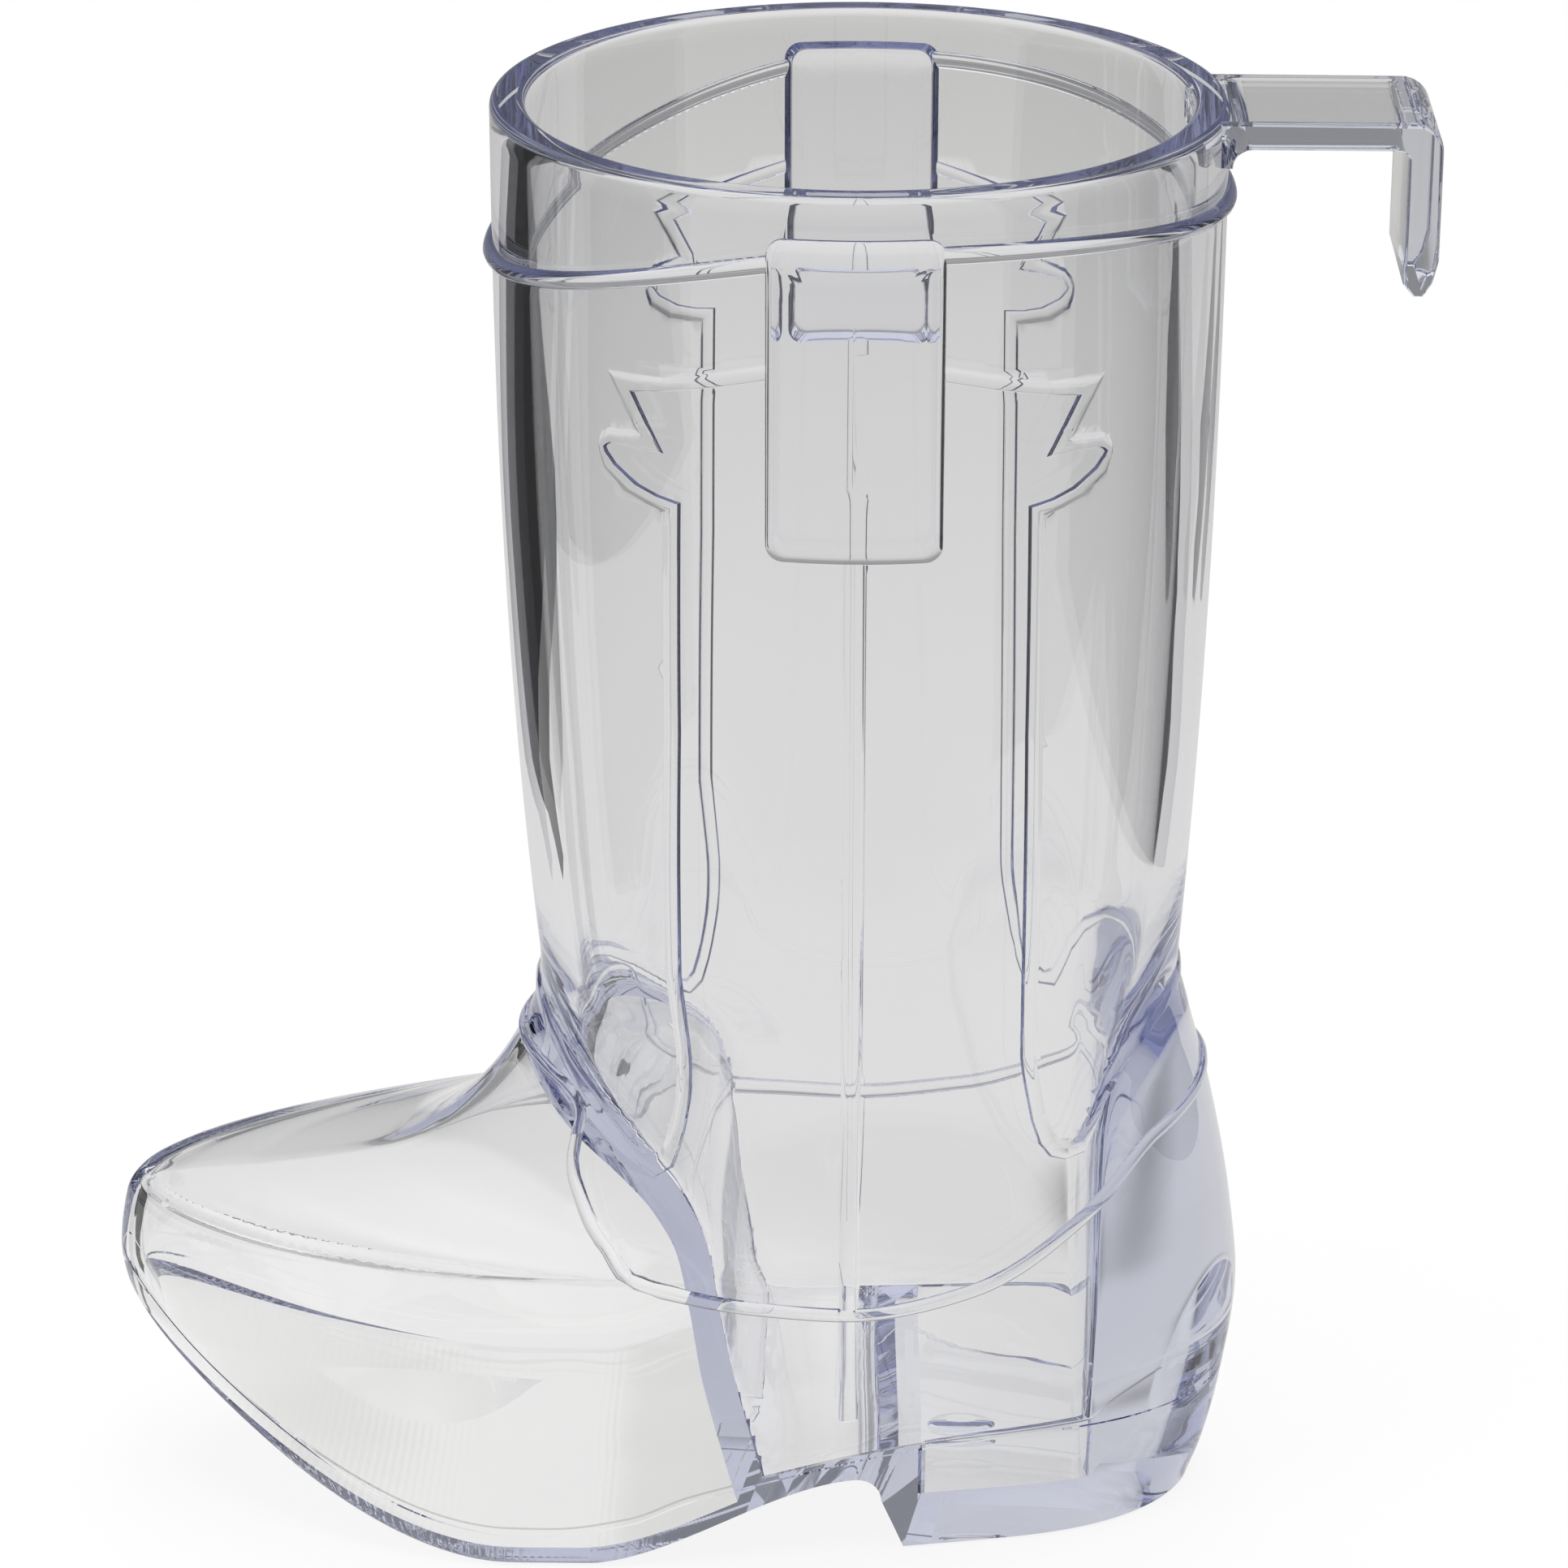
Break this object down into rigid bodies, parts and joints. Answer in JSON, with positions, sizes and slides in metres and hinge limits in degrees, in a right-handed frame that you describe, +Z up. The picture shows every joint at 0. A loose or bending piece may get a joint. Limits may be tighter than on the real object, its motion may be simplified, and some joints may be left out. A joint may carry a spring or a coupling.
{
  "type": "boot-shaped shot glass",
  "caption": "Clear plastic shot glass in the shape of a western boot, with a round mouth, pull straps, a heel, a hollow toe and a rim hook for hanging.",
  "frame": {"origin": "on the table under the middle of the whole part, hook included", "axes": "+X from the toe towards the heel and hook, +Y across the boot, +Z up along the shaft"},
  "size_m": [0.074, 0.0416, 0.0832],
  "materials": {
    "clear_upper": "water-clear moulded polystyrene with a faint blue-violet tint in thick places, gloss",
    "clear_sole": "water-clear moulded polystyrene, gloss, with fine cross lines on the underside"
  },
  "bodies": {
    "root": {"boot_upper": "clear_upper", "sole_and_heel": "clear_sole"}
  },
  "joints": []
}
